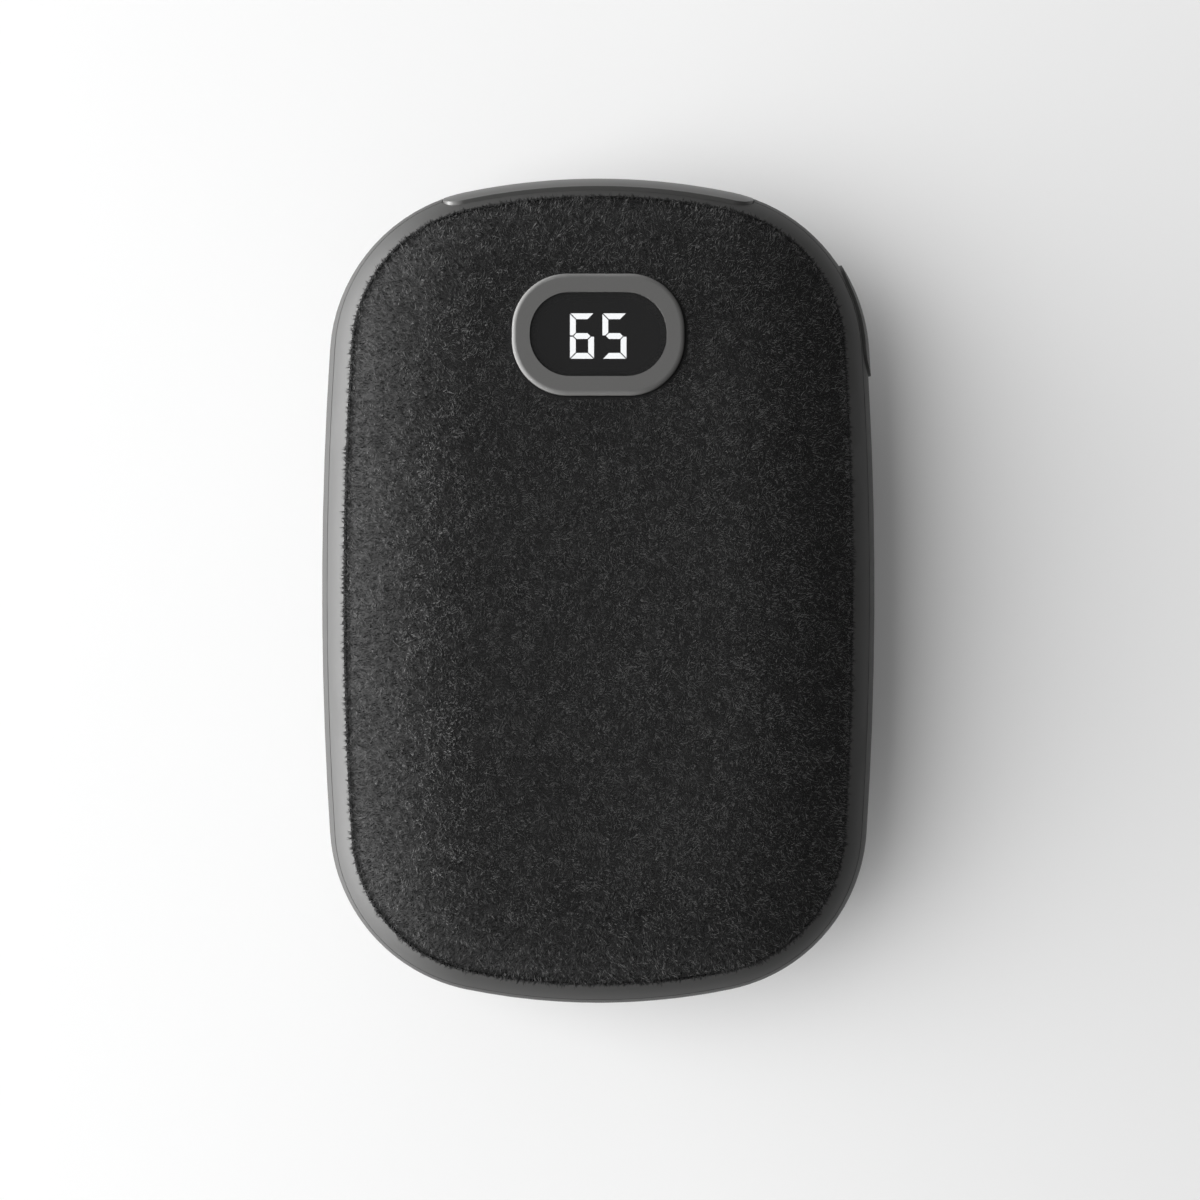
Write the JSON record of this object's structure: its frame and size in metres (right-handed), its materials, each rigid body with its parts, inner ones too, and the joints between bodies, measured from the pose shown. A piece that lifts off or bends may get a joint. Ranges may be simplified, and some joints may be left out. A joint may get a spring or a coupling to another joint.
{
  "type": "rechargeable hand warmer",
  "caption": "Palm-sized oval hand warmer with felt faces, a digit display, end sockets for charging and output, and a side push button.",
  "frame": {"origin": "on the flat of the rear felt, under the middle of the body", "axes": "+Z out of the display face, +Y to the end with the sockets, +X to the side with the button"},
  "size_m": [0.066, 0.0982, 0.0277],
  "materials": {
    "felt": "short-pile felt",
    "glue": "clear film",
    "case": "satin, fine texture",
    "bezel": "satin",
    "window": "smoked, polished",
    "lit_segment": "glowing white",
    "dark_segment": "unlit",
    "display_body": "matt",
    "panel": "satin",
    "button": "satin",
    "socket_steel": "plated",
    "insulator": "moulded",
    "contact": "gold plated",
    "switch": "moulded",
    "plunger": "moulded",
    "dome": "spring steel",
    "board": "solder mask",
    "chip": "moulded",
    "inductor": "pressed ferrite",
    "capacitor": "ceramic",
    "connector": "moulded nylon",
    "pouch": "laminate foil",
    "tab": "nickel strip",
    "tape": "polyester tape",
    "plate": "rolled sheet",
    "film": "polyimide",
    "foam": "closed-cell foam",
    "red_lead": "smooth",
    "black_lead": "smooth",
    "white_lead": "smooth",
    "sensor": "epoxy bead",
    "screw": "zinc plated"
  },
  "bodies": {
    "casing": {"front_felt": "felt", "rear_felt": "felt", "front_felt_glue": "glue", "rear_felt_glue": "glue", "front_cover": "case", "rear_cover": "case", "display_bezel": "bezel", "display_window": "window", "lit_segments": "lit_segment", "dark_segments": "dark_segment", "display_block": "display_body", "port_panel": "panel", "usb_c_shell": "socket_steel", "usb_a_shell": "socket_steel", "usb_c_insulator": "insulator", "usb_a_insulator": "insulator", "usb_c_contacts": "contact", "usb_a_contacts": "contact", "switch_housing": "switch", "switch_dome": "dome", "main_board": "board", "protection_board": "board", "control_chip": "chip", "charge_chip": "chip", "power_inductor": "inductor", "board_capacitors": "capacitor", "battery_socket": "connector", "battery_plug": "connector", "battery_cells": "pouch", "cell_tabs": "tab", "cell_tape": "tape", "front_heat_plate": "plate", "rear_heat_plate": "plate", "front_heater_film": "film", "rear_heater_film": "film", "front_foam": "foam", "rear_foam": "foam", "red_battery_lead": "red_lead", "black_battery_lead": "black_lead", "front_heater_leads": "white_lead", "rear_heater_leads": "white_lead", "thermistor_leads": "white_lead", "thermistor": "sensor", "case_screws": "screw", "board_screws": "screw"},
    "button": {"side_button": "button"},
    "plunger": {"switch_plunger": "plunger"}
  },
  "joints": [
    {"name": "button_press", "type": "slide", "parent": "casing", "child": "button", "axis": [-0.9703, -0.2419, 0], "range_m": [0, 0.00035], "stiffness_N_per_m": 4500},
    {"name": "plunger_press", "type": "slide", "parent": "casing", "child": "plunger", "axis": [-0.9703, -0.2419, 0], "range_m": [0, 0.0005], "deforming": ["switch_dome"]}
  ],
  "couplings": [
    {"joint": "plunger_press", "follows": "button_press", "ratio": 1}
  ]
}
